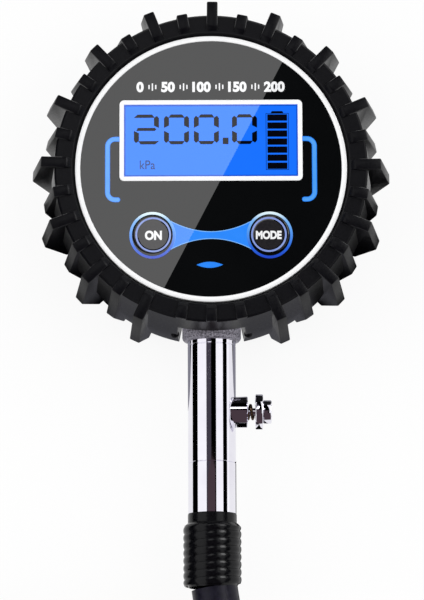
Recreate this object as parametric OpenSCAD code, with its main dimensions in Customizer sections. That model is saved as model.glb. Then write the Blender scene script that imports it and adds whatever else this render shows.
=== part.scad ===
// Round digital tyre pressure gauge in a rubber boot, with a chrome stem, a bleed
// button, a hose and a tyre chuck. It lies on its back: +Z is the way the dial faces,
// -Y is the way the stem points, and the origin is on the battery door. Millimetres.

/* [Case] */
// Outer radius of the two case shells
case_r = 38; // [37.5:0.5:40]
// Wall thickness of the case shells
case_wall = 2; // [1.6:0.1:2.2]
// Thickness of the rear case's floor
floor_t = 2.4; // [2.3:0.1:3]
// How much narrower the rear case is at its floor
rear_taper = 2.4; // [1.8:0.1:2.6]
// Depth of the whole head, boot included
head_depth = 37; // [37:0.5:40]

/* [Boot] */
// Rubber over the case at the front and rear edges
boot_edge = 1.7; // [1.4:0.1:2.5]
// Rubber over the case where the boot is widest
boot_crown = 3.1; // [2.6:0.1:4.2]
// Long lugs around the boot, with a short lug midway between two
lug_count = 16; // [12:2:20]
// Share of an even pitch that the lugs keep, so that the gap at the stem is wider
lug_share = 0.985; // [0.97:0.005:1]
// Width of a lug
lug_w = 2.75; // [2.4:0.05:3.4]
// Height of a long lug at its front end
long_tip = 3.3; // [2.5:0.1:4]
// Height of a long lug at its rear end
long_back = 1.3; // [0.8:0.1:2.4]
// Height of a long lug where the boot is widest
long_crown = 4.9; // [4:0.1:6]
// Height of a short lug at its front and rear ends
short_tip = 0.6; // [0.4:0.1:1.5]
// Height of a short lug where the boot is widest
short_crown = 2.4; // [1.8:0.1:3.4]
// Height of the bars that the lugs make on the boot's rims
bar_h = 1; // [0.6:0.1:1.5]
// Thickness of the rims that hold the case
lip_t = 2; // [1.6:0.1:2.4]
// Width of the bevel around the inside of each rim
lip_bevel = 0.7; // [0.4:0.1:1]
// Radius of the beads beside the inlet port
bead_r = 1.1; // [0.8:0.1:1.3]

/* [Face] */
// Width of the case's rim outside the face ring
rim_w = 3.55; // [3.4:0.05:4.5]
// Width of the white face ring
ring_w = 1.35; // [1:0.05:2]
// How far the face ring lies below the boot's front
face_recess = 1.9; // [1.5:0.1:2.4]
// Thickness of the black face panel
panel_t = 1.5; // [1:0.1:2]
// Width of the white display frame
lcd_w = 46.4; // [42:0.2:48]
// Height of the white display frame
lcd_h = 21; // [18:0.2:22]
// Wall of the white display frame
lcd_rim = 1.15; // [0.8:0.05:1.6]
// Centre of the display above the dial's centre
lcd_y = 7.24; // [6:0.02:8]
// Thickness of the display glass
lcd_t = 2.2; // [1.6:0.1:3]

/* [Keys] */
// Distance of each key from the dial's centre line
key_x = 14.9; // [12:0.1:16]
// Distance of the keys below the dial's centre
key_y = 17; // [16:0.1:18]
// Radius of a key cap
key_r = 4.9; // [4:0.1:5.5]
// How far a key can be pressed
key_travel = 0.5; // [0.3:0.1:0.6]
// How far a key stands proud of the face panel
key_proud = 0.3; // [0.2:0.1:0.8]

/* [Batteries] */
// Diameter of a cell
cell_d = 10.5; // [10:0.1:11]
// Length of a cell with its nub
cell_l = 44.5; // [43:0.5:45]
// Length of a compressed battery spring
spring_l = 4.7; // [4.2:0.1:5.7]
// Thickness of the battery door
door_t = 1.6; // [1.4:0.1:1.8]

/* [Inlet] */
// Radius of the cast inlet port
port_r = 7.5; // [7:0.1:8]
// Gap between the port and the boot
port_gap = 1; // [0.6:0.1:1.5]
// How far the port stands out of the case
port_out = 2.9; // [2:0.1:5]
// Radius of the port's neck inside the case
port_neck_r = 6.4; // [6.2:0.1:6.8]
// Radius of the pressure sensor
sensor_r = 5.5; // [4.5:0.1:5.6]

/* [Stem] */
// Radius of the chrome stem
stem_r = 6.125; // [5.9:0.025:6.8]
// Length of the upper stem
stem_l = 32.3; // [28:0.1:45]
// Length of the lower stem that shows
lower_l = 12.3; // [8:0.1:20]
// Radius of the air passage through the stem
stem_bore_r = 2.4; // [1.8:0.1:2.6]

/* [Bleed valve] */
// Distance of the bleed button from the inlet port
bleed_s = 19.1; // [12:0.1:21]
// Radius of the boss that holds the bleed valve
bleed_boss_r = 4; // [3.6:0.1:4.6]
// How far the boss stands out of the stem
bleed_boss_out = 3; // [2.5:0.1:5]
// How far the bleed button can be pressed
bleed_travel = 1.5; // [1:0.1:1.5]
// Radius of the bleed button's flange
flange_r = 4.5; // [4:0.1:5.5]
// Radius of the bleed button's head
head_r = 3; // [2.4:0.1:3.6]

/* [Hose] */
// Outer radius of the hose
hose_r = 5.85; // [5.5:0.05:5.9]
// Radius of the hole through the hose
hose_bore_r = 3.35; // [3:0.05:3.6]
// Length of the ribbed sleeve
sleeve_l = 19.3; // [18:0.1:22]
// Radius of the sleeve over its ribs
rib_r = 7.5; // [7.2:0.1:8.5]
// Depth of the grooves between the ribs
rib_h = 0.7; // [0.4:0.1:0.9]
// Distance from one rib to the next
rib_pitch = 1.92; // [1.6:0.02:2.4]

/* [Chuck] */
// Radius of the chuck's sleeve and cap
chuck_r = 7.2; // [7:0.1:7.3]
// Radius of the mouth that goes over a tyre valve
mouth_r = 4.1; // [4:0.05:4.3]
// Depth of the mouth
mouth_l = 7.6; // [6:0.1:9]
// Distance across the flats of the chuck's hexagon
hex_af = 12.4; // [11.5:0.1:12.6]

/* [Hidden] */
$fn = 64;

// Gaps between pieces
slack = 0.05;       // round pieces that are pressed or screwed together
fit = 0.1;          // flat edges of pieces that are set into each other
key_gap = 0.15;     // around a key cap
door_gap = 0.15;    // around the battery door
eps = 1;            // how far a cutting tool runs past a face

// Levels, from the rest plane up
stem_z = head_depth / 2;
lip_back_z = bar_h;
rear_shoulder_z = lip_back_z + lip_t;
lip_front_z = head_depth - bar_h;
front_shoulder_z = lip_front_z - lip_t;
ring_z = head_depth - face_recess;
panel_z = ring_z - 0.2;
plate_z = panel_z - panel_t;
plate_back_z = plate_z - case_wall;
taper_z = stem_z - 2.5;
board_t = 1.6;
board_z = stem_z + port_neck_r + 0.3;
board_top_z = board_z + board_t;
glass_z = panel_z - 0.3;

// Boot outline
ring_r = case_r - rim_w;
edge_r = case_r + boot_edge;
crown_r = case_r + boot_crown;
lip_in_r = ring_r + 0.15;
lip_r = lip_in_r + lip_bevel;
bar_in_r = lip_r + 1.2;
edge_chamfer = 0.5;
lug_root_r = case_r + boot_edge * 0.6;
notch_half = port_r + port_gap;
even_pitch = 360 / lug_count;
long_pitch = even_pitch * lug_share;

// Rear case
rear_r = case_r - rear_taper;
rear_step_r = min(lip_in_r - 0.2, rear_r - 0.4);
screw_circle_r = case_r - 6.8;
screw_angles = [50, 130, 210, 330];
screw_reach = 8;
boss_r = 2.6;
screw_r = 1.1;
screw_head_r = 2.1;
screw_head_h = 1.5;

// Battery bay
contact_t = 0.4;
bay_l = cell_l + spring_l + 2 * contact_t;
bay_y = 4;
bay_w = 2 * cell_d + 0.6;
bay_wall = 1.2;
bay_roof_z = floor_t + 0.2 + cell_d + 0.2;
cell_z = floor_t + 0.2 + cell_d / 2;
cell_off = cell_d / 2 + 0.1;
nub_l = 0.8;
nub_r = 1.9;
spring_wide_r = 3.6;
spring_narrow_r = 2.2;
spring_wire = 0.35;
door_edge = 1.5;
door_screw_y = bay_y + bay_w / 2 + door_edge + 3.2;
door_tab_r = 4;
door_tongue = 1.2;
tongue_w = 6;
tongue_x = 12;

// Display and keys
lcd_corner_r = 1.2;
backlight_t = glass_z - lcd_t - board_top_z;
strip_w = 1.8;
strip_room = strip_w + 0.6;
key_hole_r = key_r + key_gap;
key_flange_r = key_r + 0.9;
key_flange_t = 0.8;
key_flange_z = plate_back_z - key_flange_t;
switch_top_z = key_flange_z - key_travel - 0.3;
switch_w = 6;
pin_r = 1.7;
pin_depth = 1.6;

// Board
board_r = case_r - 7;
post_r = 2.4;
post_inset = 6.5;
post_side_x = board_r - post_inset;
post_top_y = lcd_y + lcd_h / 2 + post_r + 0.7;
post_top_x = board_r * 0.42;
post_places = [[post_side_x, -8.5], [-post_side_x, -8.5], [post_top_x, post_top_y],
    [-post_top_x, post_top_y]];
board_screw_r = 0.95;
board_screw_head_r = 2;
board_screw_head_h = 1.3;
chip_size = [10, 10, 1.4];
chip_place = [0, board_r / 3];
driver_size = [6, 8, 1.2];
driver_inset = 17;
driver_place = [board_r - driver_inset, 6];
cap_size = [2, 1.2, 0.8];
cap_step = 3.5;
cap_inset = 13;
cap_place = [cap_inset - board_r, 12];
buzzer_r = 2.5;
buzzer_t = 5.4;
buzzer_place = [driver_inset - board_r, 0];

// Inlet, with s as the distance from the dial's axis along the stem
seat_s = case_r - 3.5;
port_flange_r = port_neck_r + 2.8;
port_flange_t = 2.5;
port_neck_l = 8;
port_neck_s = seat_s - port_flange_t - port_neck_l;
port_end_s = case_r + port_out;
sensor_socket_l = 6;
seal_t = 0.8;
air_r = 1.5;
port_socket_l = 4;
spigot_r = 4.9;
sensor_back_s = port_neck_s - 4;

// Stem
stem_band = 0.7;
stem_end_s = port_end_s + stem_l;
lower_socket_l = 6;
lower_spigot_r = 4.45;
lower_end_s = stem_end_s + lower_l;
bleed_y = -(port_end_s + bleed_s);
neck_r = 4.6;
neck_l = 3.7;
barb_r = hose_bore_r - slack;
barb_step = 3.2;

// Bleed valve, with x as the distance from the stem's axis
valve_hole_r = 2.6;
bleed_boss_x = stem_r + bleed_boss_out;
seat_x = valve_hole_r;
seat_l = 2;
bleed_pin_r = 1;
flange_x = bleed_boss_x + bleed_travel + 0.4;
flange_l = 2;
head_l = 2.2;
poppet_r = 1.9;
poppet_l = 0.8;
bleed_seal_t = 0.5;
spring_wire_r = 0.25;
spring_mean_r = 1.75;

// Sleeve and hose
sleeve_end_s = lower_end_s + sleeve_l;
collar_r = stem_r + 0.075;
collar_l = 2.7;
rib_count = floor((sleeve_l - collar_l - 1) / rib_pitch);
hose_start_s = lower_end_s + neck_l + 0.1;
// The hose's route on from the sleeve: out, down to the ground and around one loop
hose_route = [[0, -sleeve_end_s, stem_z], [2.1, -119.7, 18.3], [3.6, -134.7, 16.9],
    [4.6, -149.7, 14.7], [4.9, -164.8, 11.9], [4.4, -179.8, 9.2], [1.3, -194.5, 7.1],
    [-5.5, -207.9, 6.1], [-15.4, -219.2, 5.9], [-28, -227.5, 5.9], [-42.2, -232.3, 5.9],
    [-57.2, -233.3, 5.9], [-71.9, -230.4, 5.9], [-85.4, -223.8, 5.9], [-96.8, -214, 5.9],
    [-105.3, -201.6, 5.9], [-110.3, -187.4, 5.9], [-111.5, -172.4, 5.9],
    [-108.8, -157.7, 5.9], [-102.5, -144.1, 5.9], [-92.8, -132.5, 6.1], [-80.5, -123.9, 6.6],
    [-66.5, -118.7, 7.1], [-51.5, -117.2, 7.3]];
route_steps = 2;    // rings between two points of the route
hose_sides = 12;
hose_end = hose_route[len(hose_route) - 1];
hose_facet_r = hose_r / cos(180 / hose_sides) + 0.04;   // so that the facets go round it
chuck_turn = 0;

// Chuck, with t as the distance from the hose's end
sleeve_in_l = 15;
chuck_sleeve_l = 16;
hex_l = 7;
body_r = 6.4;
body_l = 11;
plug_r = 5.45;
plug_l = 1.4;
chuck_seal_t = 3;
chuck_seal_hole_r = 2.4;
hex_t = chuck_sleeve_l + hex_l;
body_t = hex_t + body_l;
plug_t = body_t + plug_l;
mouth_t = plug_t + chuck_seal_t;
chuck_end_t = mouth_t + mouth_l;
depressor_r = 0.8;
depressor_base_r = 2;
depressor_base_l = 1.5;

// Colours
rubber_black = "#1b1b1f";
case_black = "#202023";
chrome = "#d4d6dc";
brass = "#c9a35a";
steel = "#b5b7ba";

// Axes of the stem, the bleed valve and the chuck
module stem_axis() {
    translate([0, 0, stem_z]) rotate([90, 0, 0]) children();
}

module valve_axis() {
    translate([0, bleed_y, stem_z]) rotate([0, 90, 0]) children();
}

module chuck_axis() {
    translate(hose_end) rotate([0, 0, chuck_turn]) rotate([0, 90, 0]) children();
}

// Basic shapes
module tube(r_out, r_in, from, to) {
    translate([0, 0, from]) difference() {
        cylinder(r = r_out, h = to - from);
        translate([0, 0, -eps]) cylinder(r = r_in, h = to - from + 2 * eps);
    }
}

module rod(r, from, to) {
    translate([0, 0, from]) cylinder(r = r, h = to - from);
}

module block(w, d, from, to) {
    translate([-w / 2, -d / 2, from]) cube([w, d, to - from]);
}

module rounded_plate(w, d, r, from, to) {
    translate([0, 0, from]) linear_extrude(to - from) {
        square([w, d - 2 * r], center = true);
        square([w - 2 * r, d], center = true);
        for (x = [-1, 1], y = [-1, 1])
            translate([x * (w / 2 - r), y * (d / 2 - r)]) circle(r = r);
    }
}

module at_screws() {
    for (a = screw_angles) rotate([0, 0, a]) translate([screw_circle_r, 0, 0]) children();
}

module at_posts() {
    for (p = post_places) translate([p[0], p[1], 0]) children();
}

module at_keys() {
    for (side = [-1, 1]) translate([side * key_x, -key_y, 0]) children();
}

// A tube of flat facets along a list of ring centres and directions
function unit(v) = v / norm(v);
function curve(p, i, u) = let (
        a = i > 0 ? p[i - 1] : 2 * p[0] - p[1],
        b = p[i],
        c = p[i + 1],
        d = i + 2 < len(p) ? p[i + 2] : 2 * p[i + 1] - p[i])
    (2 * b + (c - a) * u + (2 * a - 5 * b + 4 * c - d) * u * u
        + (3 * b - a - 3 * c + d) * u * u * u) / 2;
function curve_points(p, n) = concat(
    [for (i = [0 : len(p) - 2], k = [0 : n - 1]) curve(p, i, k / n)], [p[len(p) - 1]]);
function direction(q, i) =
    unit(q[min(i + 1, len(q) - 1)] - q[max(i - 1, 0)]);
function ring(centre, along, up, r, sides) = let (
        across = unit(cross(along, up)),
        raised = cross(across, along))
    [for (k = [0 : sides - 1]) let (a = 360 * (k + 0.5) / sides)
        centre + r * (cos(a) * across + sin(a) * raised)];

module sweep(rings) {
    sides = len(rings[0]);
    count = len(rings);
    points = [for (one = rings, p = one) p];
    walls = [for (i = [0 : count - 2], k = [0 : sides - 1]) let (
            a = i * sides + k,
            b = i * sides + (k + 1) % sides)
        each [[a, b, b + sides], [a, b + sides, a + sides]]];
    first = [for (k = [sides - 1 : -1 : 0]) k];
    last = [for (k = [0 : sides - 1]) (count - 1) * sides + k];
    polyhedron(points, concat([first], walls, [last]), convexity = 8);
}

// A coil of round wire around Z, with its outside between two heights
module coil(from, to, r0, r1, wire_r, turns, steps, sides) {
    count = turns * steps;
    path = [for (i = [0 : count]) let (
            u = i / count,
            a = 360 * i / steps,
            r = r0 + (r1 - r0) * u)
        [r * cos(a), r * sin(a), from + wire_r + (to - from - 2 * wire_r) * u]];
    sweep([for (i = [0 : count])
        ring(path[i], direction(path, i), [0, 0, 1], wire_r, sides)]);
}

// Boot
module lug(tip, crown, back) {
    rotate([90, 0, 0]) translate([0, 0, -lug_w / 2]) linear_extrude(lug_w) polygon([
        [lip_r + 0.15, lip_front_z], [bar_in_r, head_depth], [edge_r + tip, head_depth],
        [crown_r + crown, stem_z], [edge_r + back, 0], [bar_in_r, 0],
        [lip_r + 0.15, lip_back_z], [lug_root_r, rear_shoulder_z - 0.5],
        [lug_root_r, front_shoulder_z + 0.5]]);
}

module front_bar() {
    rotate([90, 0, 0]) translate([0, 0, -lug_w / 2]) linear_extrude(lug_w) polygon([
        [lip_r + 0.15, lip_front_z], [bar_in_r, head_depth], [edge_r, head_depth],
        [edge_r, lip_front_z - 2 * edge_chamfer], [lug_root_r, front_shoulder_z + 0.5]]);
}

module rubber_boot() {
    bead_x = notch_half + bead_r * 0.8;
    bead_y = -sqrt(crown_r * crown_r - bead_x * bead_x) + bead_r * 0.75;
    color(rubber_black) difference() {
        union() {
            // turned, so that the seam lies between two lugs
            rotate([0, 0, 90 + long_pitch / 4]) rotate_extrude($fn = 180) polygon([
                [lip_in_r, front_shoulder_z], [lip_r, lip_front_z],
                [edge_r - edge_chamfer, lip_front_z], [edge_r, lip_front_z - edge_chamfer],
                [crown_r, stem_z], [edge_r, lip_back_z + edge_chamfer],
                [edge_r - edge_chamfer, lip_back_z], [lip_r, lip_back_z],
                [lip_in_r, rear_shoulder_z], [rear_r + slack, rear_shoulder_z],
                [case_r + slack, taper_z], [case_r + slack, front_shoulder_z]]);
            for (i = [1 : lug_count - 1])
                rotate([0, 0, 90 + (i - lug_count / 2) * long_pitch])
                    lug(long_tip, long_crown, long_back);
            for (i = [1 : lug_count - 2])
                rotate([0, 0, 90 + (i + 0.5 - lug_count / 2) * long_pitch])
                    lug(short_tip, short_crown, short_tip);
            for (i = [-0.5, 0, 0.5]) rotate([0, 0, i * even_pitch - 90]) front_bar();
            for (side = [-1, 1]) translate([side * bead_x, bead_y, 0]) {
                rod(bead_r, rear_shoulder_z, stem_z);
                translate([0, 0, stem_z]) sphere(r = bead_r);
            }
        }
        translate([-notch_half, -case_r - 9, -eps])
            cube([2 * notch_half, case_r, stem_z + notch_half + eps]);
    }
}

// Case shells
module port_seat(from, to) {
    width = 2 * (port_flange_r + 1);
    intersection() {
        translate([-width / 2, -case_r + case_wall / 2, from])
            cube([width, case_r - case_wall / 2 - seat_s, to - from]);
        rod(case_r - case_wall / 2, from, to);
    }
}

module port_hole() {
    stem_axis() rod(port_r + slack, seat_s - eps, case_r + eps);
}

module front_case() {
    color(case_black) difference() {
        union() {
            rotate_extrude($fn = 180) polygon([
                [case_r, stem_z], [case_r, front_shoulder_z],
                [ring_r + slack, front_shoulder_z], [ring_r + slack, plate_z],
                [0, plate_z], [0, plate_back_z], [case_r - case_wall, plate_back_z],
                [case_r - case_wall, stem_z]]);
            at_screws() rod(boss_r, stem_z, plate_back_z + case_wall / 2);
            at_posts() rod(post_r, board_top_z, plate_back_z + case_wall / 2);
            port_seat(stem_z, stem_z + port_flange_r + 1);
        }
        translate([0, lcd_y, 0]) rounded_plate(lcd_w + 2 * fit, lcd_h + 2 * fit,
            lcd_corner_r, plate_back_z - eps, plate_z + eps);
        at_keys() rod(key_hole_r, plate_back_z - eps, plate_z + eps);
        at_screws() rod(screw_r + slack, stem_z - eps, stem_z + screw_reach + eps);
        at_posts() rod(board_screw_r + slack, board_top_z - eps, board_top_z + 3.6);
        port_hole();
    }
}

module door_outline(grow, from, to) {
    door_w = bay_l + 2 * door_edge + 2 * grow;
    door_d = bay_w + 2 * door_edge + 2 * grow;
    translate([0, bay_y, 0]) rounded_plate(door_w, door_d, 2, from, to);
    translate([0, door_screw_y, 0]) rod(door_tab_r + grow, from, to);
    tab_from_y = bay_y + bay_w / 2;
    translate([0, (tab_from_y + door_screw_y) / 2, 0])
        block(2 * (door_tab_r + grow), door_screw_y - tab_from_y, from, to);
}

module door_tongues(grow) {
    edge_y = bay_y - bay_w / 2 - door_edge;
    for (side = [-1, 1]) translate([side * tongue_x, edge_y, 0])
        block(tongue_w + 2 * grow, 2 * (door_tongue + grow), door_t / 2 - grow, door_t);
}

module rear_case() {
    inner_r = case_r - case_wall;
    color(case_black) difference() {
        union() {
            rotate_extrude($fn = 180) polygon([
                [0, 0], [rear_step_r, 0], [rear_step_r, rear_shoulder_z],
                [rear_r, rear_shoulder_z], [case_r, taper_z], [case_r, stem_z],
                [inner_r, stem_z], [inner_r, taper_z],
                [inner_r - rear_taper, rear_shoulder_z + case_wall],
                [rear_step_r - case_wall, floor_t], [0, floor_t]]);
            at_screws() rod(boss_r, floor_t / 2, stem_z);
            port_seat(stem_z - port_flange_r - 1, stem_z);
            translate([0, bay_y, 0]) block(bay_l + 2 * bay_wall, bay_w + 2 * bay_wall,
                floor_t / 2, bay_roof_z + bay_wall);
            translate([0, door_screw_y, 0]) rod(2.8, floor_t / 2, floor_t + 5.6);
        }
        translate([0, bay_y, 0]) block(bay_l, bay_w, -eps, bay_roof_z);
        door_outline(door_gap, -eps, door_t);
        door_tongues(door_gap);
        translate([0, door_screw_y, 0]) rod(0.9 + slack, -eps, floor_t + 4);
        at_screws() {
            rod(screw_head_r + 0.2, -eps, floor_t);
            rod(screw_r + 0.1, floor_t - eps, stem_z + eps);
        }
        port_hole();
    }
}

module case_screws() {
    head_z = floor_t - screw_head_h;
    color(steel) at_screws() difference() {
        union() {
            rod(screw_head_r, head_z, floor_t);
            rod(screw_r, head_z, stem_z + screw_reach);
        }
        for (a = [0, 90]) rotate([0, 0, a]) block(2.6, 0.6, head_z - eps, head_z + 0.8);
    }
}

module battery_door() {
    color(case_black) difference() {
        union() {
            door_outline(0, 0, door_t);
            door_tongues(0);
        }
        translate([0, door_screw_y, 0]) {
            rod(2.2, -eps, 1);
            rod(1, 0, door_t + eps);
        }
        for (i = [-2 : 2]) translate([i * 2.4 - 18, bay_y, 0])
            block(1, bay_w / 2, -eps, 0.4);
    }
}

module door_screw() {
    color(steel) translate([0, door_screw_y, 0]) difference() {
        union() {
            rod(2, 0.2, 1);
            rod(0.9, 0.2, floor_t + 3.4);
        }
        for (a = [0, 90]) rotate([0, 0, a]) block(2.4, 0.5, -eps, 0.6);
    }
}

// Face
module face_ring() {
    color("white") rotate_extrude($fn = 180) polygon([
        [ring_r, plate_z], [ring_r, ring_z - 0.2], [ring_r - 0.2, ring_z],
        [ring_r - ring_w + 0.2, ring_z], [ring_r - ring_w, ring_z - 0.2],
        [ring_r - ring_w, plate_z]]);
}

module face_panel() {
    color("#0d0d0f") difference() {
        translate([0, 0, plate_z])
            cylinder(r = ring_r - ring_w - slack, h = panel_t, $fn = 180);
        translate([0, lcd_y, 0]) rounded_plate(lcd_w + 2 * fit, lcd_h + 2 * fit,
            lcd_corner_r, plate_z - eps, panel_z + eps);
        at_keys() rod(key_hole_r, plate_z - eps, panel_z + eps);
    }
}

module display_frame() {
    color("white") translate([0, lcd_y, 0]) difference() {
        rounded_plate(lcd_w, lcd_h, lcd_corner_r, board_top_z, panel_z);
        block(lcd_w - 2 * lcd_rim, lcd_h - 2 * lcd_rim, board_top_z - eps, panel_z + eps);
    }
}

module display_glass() {
    color("#2f86ff") translate([0, lcd_y, 0])
        block(lcd_w - 2 * lcd_rim - fit, lcd_h - 2 * lcd_rim - fit,
            glass_z - lcd_t, glass_z);
}

module display_backlight() {
    deep = lcd_h - 2 * lcd_rim - fit - strip_room;
    color("#e8f0ff") translate([0, lcd_y + strip_room / 2, 0])
        block(lcd_w - 2 * lcd_rim - 3 * fit, deep, board_top_z, board_top_z + backlight_t);
}

module display_connector() {
    inner_edge = lcd_y - lcd_h / 2 + lcd_rim;
    color("#5a5a60") translate([0, inner_edge + fit + strip_w / 2, 0])
        block(lcd_w - 2 * lcd_rim - 4, strip_w, board_top_z, board_top_z + backlight_t);
}

// Board
module circuit_board() {
    color("#1d6b3a") difference() {
        rod(board_r, board_z, board_top_z);
        at_screws() rod(boss_r + 0.4, board_z - eps, board_top_z + eps);
        at_posts() rod(board_screw_r + 0.2, board_z - eps, board_top_z + eps);
    }
}

module board_screws() {
    head_z = board_z - board_screw_head_h;
    color(steel) at_posts() difference() {
        union() {
            rod(board_screw_head_r, head_z, board_z);
            rod(board_screw_r, head_z, board_top_z + 3);
        }
        for (a = [0, 90]) rotate([0, 0, a])
            block(1.2 * board_screw_head_r, 0.5, head_z - eps, head_z + board_screw_head_h / 2);
    }
}

module under_board(place, size) {
    translate(place) block(size[0], size[1], board_z - size[2], board_z);
}

module board_parts() {
    color("#222225") {
        under_board(chip_place, chip_size);
        under_board(driver_place, driver_size);
        for (i = [0 : 2]) under_board(cap_place + [i * cap_step, 0], cap_size);
    }
    color(steel) translate(buzzer_place) rod(buzzer_r, board_z - buzzer_t, board_z);
}

module key_switches() {
    color("#3a3a3e") at_keys() difference() {
        block(switch_w, switch_w, board_top_z, switch_top_z);
        rod(pin_r + slack, switch_top_z - pin_depth, switch_top_z + eps);
    }
}

module key_cap() {
    rim = 0.3;
    rotate_extrude() polygon([
        [0, key_flange_z], [key_flange_r, key_flange_z], [key_flange_r, plate_back_z],
        [key_r, plate_back_z], [key_r, panel_z + key_proud - rim],
        [key_r - rim, panel_z + key_proud], [0, panel_z + key_proud]]);
}

module switch_pin() {
    rod(pin_r, switch_top_z - pin_depth + key_travel + slack, key_flange_z);
}

module power_button() {
    color("#3a3a3a") translate([-key_x, -key_y, 0]) key_cap();
}

module mode_button() {
    color("#3a3a3a") translate([key_x, -key_y, 0]) key_cap();
}

module power_switch_pin() {
    color("#8a8a90") translate([-key_x, -key_y, 0]) switch_pin();
}

module mode_switch_pin() {
    color("#8a8a90") translate([key_x, -key_y, 0]) switch_pin();
}

// Batteries: two cells side by side, the second one turned round
module at_cells() {
    for (turn = [0, 180]) translate([0, bay_y, cell_z]) rotate([0, 0, turn])
        translate([0, cell_off, 0]) rotate([0, 90, 0]) children();
}

module battery_cells() {
    end_x = bay_l / 2 - contact_t;
    color("#9aa0a8") at_cells() {
        rod(cell_d / 2, end_x - cell_l, end_x - nub_l);
        rod(nub_r, end_x - nub_l - eps, end_x);
    }
}

module battery_springs() {
    start_x = -bay_l / 2 + contact_t;
    color(steel) at_cells() coil(start_x, start_x + spring_l, spring_wide_r, spring_narrow_r,
        spring_wire, 3, 16, 6);
}

module battery_contacts() {
    plate_x = bay_l / 2 - contact_t / 2;
    color(steel) {
        translate([-plate_x, bay_y, 0])
            block(contact_t, bay_w - 2, floor_t + 0.6, bay_roof_z - 1);
        for (side = [-1, 1]) translate([plate_x, bay_y + side * cell_off, 0])
            block(contact_t, cell_d - 2, floor_t + 0.6, bay_roof_z - 1);
    }
}

// Inlet
module pressure_sensor() {
    front_s = port_neck_s + sensor_socket_l - seal_t;
    color(steel) {
        stem_axis() rod(sensor_r, sensor_back_s, front_s);
        for (i = [-1.5 : 1 : 1.5])
            translate([i * 2, -sensor_back_s - 1.5, 0]) rod(0.3, stem_z, board_z);
    }
}

module sensor_seal() {
    end_s = port_neck_s + sensor_socket_l;
    color("#2a2a2a") stem_axis() tube(sensor_r - 0.3, air_r + 0.6, end_s - seal_t, end_s);
}

module inlet_port() {
    color("#8d8c93") stem_axis() difference() {
        union() {
            rod(port_neck_r, port_neck_s, seat_s);
            rod(port_flange_r, seat_s - port_flange_t, seat_s);
            rod(port_r, seat_s - port_flange_t, port_end_s);
        }
        rod(sensor_r + slack, port_neck_s - eps, port_neck_s + sensor_socket_l);
        rod(air_r, port_neck_s, port_end_s);
        rod(spigot_r + slack, port_end_s - port_socket_l, port_end_s + eps);
    }
}

module port_seal() {
    from_s = port_end_s - port_socket_l;
    color("#2a2a2a") stem_axis()
        tube(spigot_r - 0.1, stem_bore_r + 0.2, from_s, from_s + seal_t);
}

// Stem
module stem_upper() {
    spigot_s = port_end_s - port_socket_l + seal_t;
    color(chrome) difference() {
        union() {
            stem_axis() {
                rod(spigot_r, spigot_s, port_end_s + stem_band);
                rod(stem_r - 0.2, port_end_s, port_end_s + 2 * stem_band);
                rod(stem_r, port_end_s + stem_band, stem_end_s);
            }
            valve_axis() rod(bleed_boss_r, 0, bleed_boss_x);
        }
        stem_axis() {
            rod(stem_bore_r, spigot_s - eps, stem_end_s + eps);
            rod(lower_spigot_r + slack, stem_end_s - lower_socket_l, stem_end_s + eps);
        }
        valve_axis() rod(valve_hole_r, -stem_bore_r, bleed_boss_x + eps);
    }
}

module stem_seal() {
    from_s = stem_end_s - lower_socket_l;
    color("#2a2a2a") stem_axis()
        tube(lower_spigot_r - 0.1, stem_bore_r + 0.2, from_s, from_s + seal_t);
}

module barb(length) {
    for (i = [0 : floor(length / barb_step) - 1]) translate([0, 0, i * barb_step])
        cylinder(r1 = barb_r, r2 = barb_r - 0.5, h = barb_step);
    rod(barb_r - 0.5, -eps, length);
}

module stem_lower() {
    barb_s = lower_end_s + neck_l;
    barb_end_s = sleeve_end_s - 1.8;
    color(chrome) stem_axis() difference() {
        union() {
            rod(lower_spigot_r, stem_end_s - lower_socket_l + seal_t, stem_end_s + eps);
            rod(stem_r, stem_end_s, lower_end_s);
            rod(neck_r, lower_end_s - eps, barb_s);
            translate([0, 0, barb_s]) barb(barb_end_s - barb_s);
        }
        rod(air_r, stem_end_s - lower_socket_l, barb_end_s + eps);
    }
}

// Bleed valve
module bleed_seat() {
    color(brass) valve_axis()
        tube(valve_hole_r - 0.02, bleed_pin_r + slack, seat_x, seat_x + seat_l);
}

module bleed_seal() {
    color("#2a2a2a") valve_axis()
        tube(poppet_r, bleed_pin_r + 0.02, seat_x - bleed_seal_t, seat_x);
}

module bleed_spring() {
    color("#7a6248") valve_axis() coil(seat_x + seat_l, flange_x, spring_mean_r,
        spring_mean_r, spring_wire_r, 7, 14, 6);
}

module bleed_button() {
    poppet_x = seat_x - bleed_seal_t - poppet_l;
    head_x = flange_x + flange_l;
    round_r = 0.6;
    color(chrome) valve_axis() {
        rod(poppet_r, poppet_x, poppet_x + poppet_l);
        rod(bleed_pin_r, poppet_x, flange_x + eps);
        rotate_extrude() polygon([
            [0, flange_x], [flange_r - round_r, flange_x], [flange_r, flange_x + round_r],
            [flange_r, head_x - round_r], [flange_r - round_r, head_x], [head_r, head_x],
            [head_r, head_x + head_l - round_r], [head_r - round_r, head_x + head_l],
            [0, head_x + head_l]]);
    }
}

// Sleeve and hose
function rib_points(from, i) = let (s = from + i * rib_pitch, low = rib_r - rib_h)
    [[low, s], [rib_r, s + rib_pitch * 0.25], [rib_r, s + rib_pitch * 0.65],
        [low, s + rib_pitch * 0.9]];

module hose_sleeve() {
    rib_s = lower_end_s + collar_l;
    ribs = [for (i = [0 : rib_count - 1]) each rib_points(rib_s, i)];
    low = rib_r - rib_h;
    color(rubber_black) stem_axis() difference() {
        rotate_extrude() polygon(concat(
            [[0, lower_end_s], [collar_r, lower_end_s], [collar_r, rib_s]],
            ribs,
            [[low, sleeve_end_s - 0.5], [low - 0.4, sleeve_end_s], [0, sleeve_end_s]]));
        rod(neck_r + slack, lower_end_s - eps, hose_start_s);
        rod(hose_r + slack, hose_start_s, sleeve_end_s + eps);
    }
}

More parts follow.
